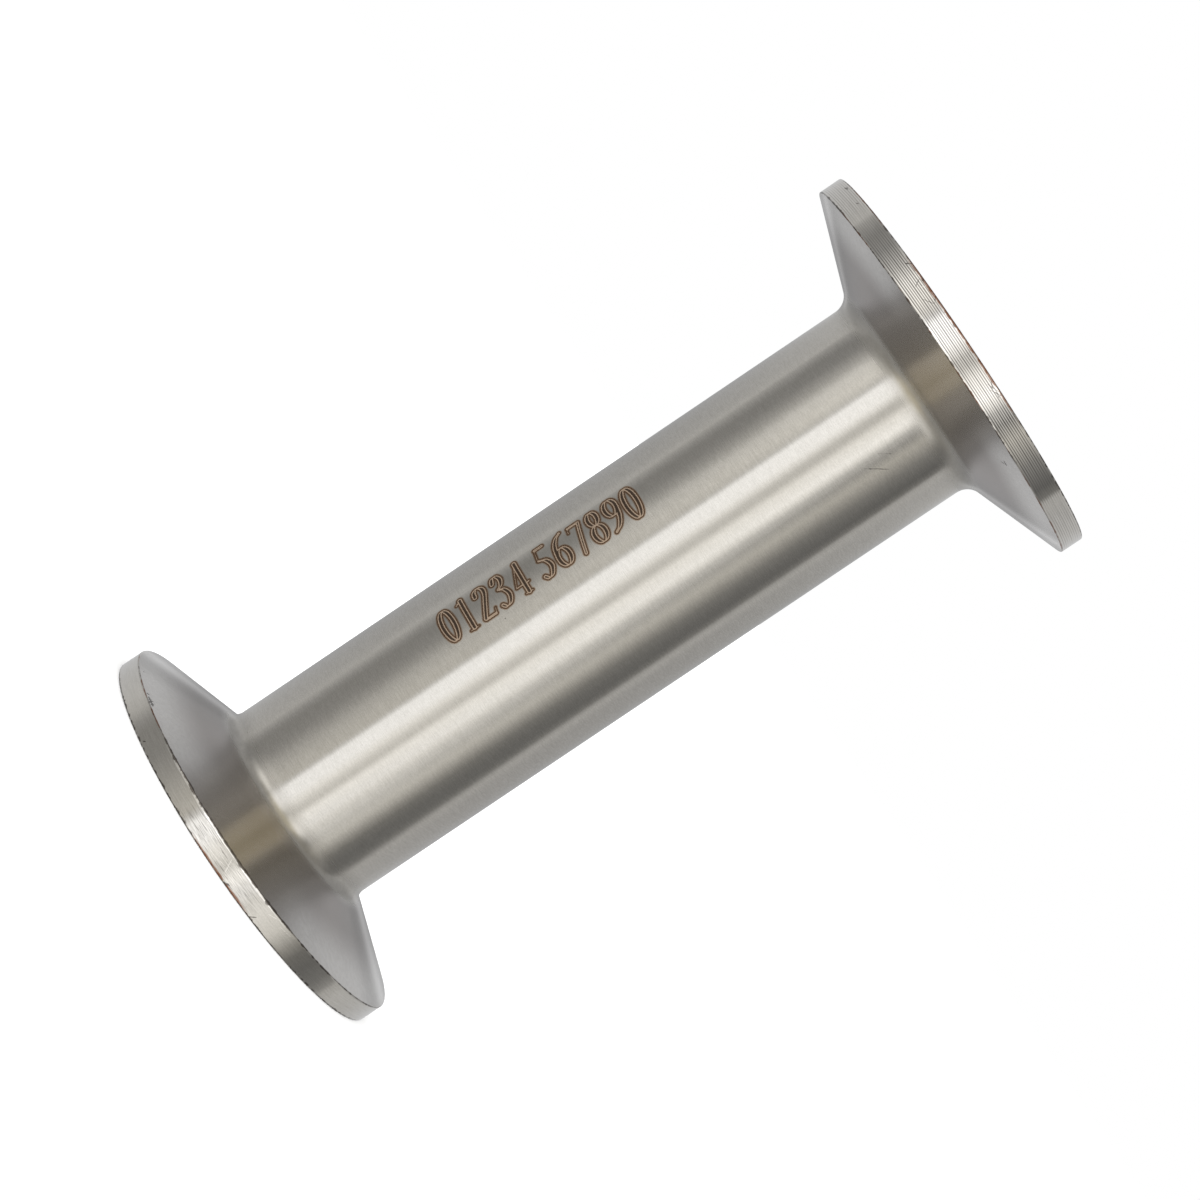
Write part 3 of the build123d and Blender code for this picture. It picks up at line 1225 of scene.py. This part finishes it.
def tent_shade(tree, aside, z, steep):
    """How much darker the tent is off the horizon, beside the spool and low down behind it."""
    behind = swings_between(tree, aside, 153, 167)
    gain_behind = maths(tree, "MULTIPLY_ADD", maths(tree, "LESS_THAN", z, 0.0), 0.07, -0.35)
    shade = maths(tree, "MULTIPLY_ADD", behind, gain_behind, 0.45)
    beside = times(tree, swings_between(tree, aside, 95, 110), shade)
    low_behind = times(tree, behind, rises_between(tree, steep, 24, 17), 0.38)
    high = rises_between(tree, z, 6, 12)
    low = rises_between(tree, z, -11.5, -15)
    off_horizon = maths(tree, "MAXIMUM", high, low)
    return times(tree, maths(tree, "MAXIMUM", beside, low_behind), off_horizon)


def tent_seam(tree, aside, z):
    """A dim seam round the tent at the horizon."""
    level = times(tree, rises_between(tree, z, -9.5, -8.2), rises_between(tree, z, 3, 1))
    return times(tree, level, swings_between(tree, aside, 98, 115), 0.30)


def seen_in_steel(tree):
    """The colour that a reflection meets, from its direction."""
    x, y, z = split(tree, tree.nodes.new("ShaderNodeTexCoord").outputs["Generated"])
    bearing = bearing_of(tree, x, y)
    aside = maths(tree, "ABSOLUTE", bearing)
    steep = maths(tree, "ABSOLUTE", z)
    share = share_round(tree, bearing)
    below = ring_of(tree, share, panels_below)
    above = ring_of(tree, share, panels_above)
    overhead = ring_of(tree, share, panels_overhead)
    ring = mixed(tree, share_above(tree, bearing, z), below, above)
    ring = mixed(tree, tent_shade(tree, aside, z, steep), ring, black)
    ring = mixed(tree, tent_seam(tree, aside, z), ring, black)
    ring = mixed(tree, rises_between(tree, steep, 33, 46), ring, overhead)
    return mixed(tree, rises_between(tree, steep, 66, 80), ring, panel_colour(0.5, 0.0))


# %% The world
white = (1, 1, 1, 1)
floor_brightness = 1.8


def studio_world():
    """A world whose ring lights what shines, with a plain white light and backdrop for the rest."""
    world = bpy.data.worlds.new("studio")
    bpy.context.scene.world = world
    world.use_nodes = True
    world.cycles.sampling_method = "NONE"
    tree = world.node_tree
    tree.nodes.clear()
    reflections = add(tree, "ShaderNodeBackground", seen_in_steel(tree), brightest).outputs[0]
    floor_light = add(tree, "ShaderNodeBackground", white, floor_brightness).outputs[0]
    backdrop = add(tree, "ShaderNodeBackground", white, 1.0).outputs[0]
    path = tree.nodes.new("ShaderNodeLightPath").outputs
    lit = add(tree, "ShaderNodeMixShader", path["Is Diffuse Ray"], reflections, floor_light).outputs[0]
    whole = add(tree, "ShaderNodeMixShader", path["Is Camera Ray"], lit, backdrop).outputs[0]
    add(tree, "ShaderNodeOutputWorld", whole)


studio_world()
bpy.context.scene.view_settings.view_transform = "Standard"


# %% The floor
floor_half_side = 3.0


def pale_floor():
    """A plain pale floor just under the spool, left out of its reflections."""
    corners = [(-1, -1), (1, -1), (1, 1), (-1, 1)]
    places = [(x * floor_half_side, y * floor_half_side, cad_low.z) for x, y in corners]
    mesh = bpy.data.meshes.new("floor")
    mesh.from_pydata(places, [], [(0, 1, 2, 3)])
    made = bpy.data.objects.new("floor", mesh)
    bpy.context.scene.collection.objects.link(made)
    material = bpy.data.materials.new("pale_floor")
    material.use_nodes = True
    shader = material.node_tree.nodes["Principled BSDF"]
    shader.inputs["Base Color"].default_value = (0.86, 0.86, 0.86, 1)
    shader.inputs["Roughness"].default_value = 0.9
    shader.inputs["Specular IOR Level"].default_value = 0.0
    mesh.materials.append(material)
    made.visible_glossy = False
    return made


floor = pale_floor()


# %% [markdown]
# ## The camera
# It looks at the middle of the spool from the front and a little from above, through a long lens,
# and is rolled so that the spool lies slantwise in the frame.

# %% The camera
camera_distance = 401.5 * mm
camera_height = 73.58 * mm
camera_roll = math.radians(56.07)
aim_above_middle = 0.15 * mm
aim_to_the_left = 0.135 * mm

camera = bpy.data.objects.new("camera", bpy.data.cameras.new("camera"))
bpy.context.scene.collection.objects.link(camera)
bpy.context.scene.camera = camera
camera.data.lens = 102.66
camera.data.sensor_width = 36
camera.data.clip_start = 0.01
camera.location = (0, -camera_distance, camera_height)
drop = math.atan2(camera_height - (middle + aim_above_middle), camera_distance)
turn = math.atan2(aim_to_the_left, camera_distance)
aimed = Matrix.Rotation(turn, 3, "Z") @ Matrix.Rotation(math.pi / 2 - drop, 3, "X")
camera.rotation_euler = (aimed @ Matrix.Rotation(camera_roll, 3, "Z")).to_euler()
print("camera drop in degrees", round(math.degrees(drop), 2))
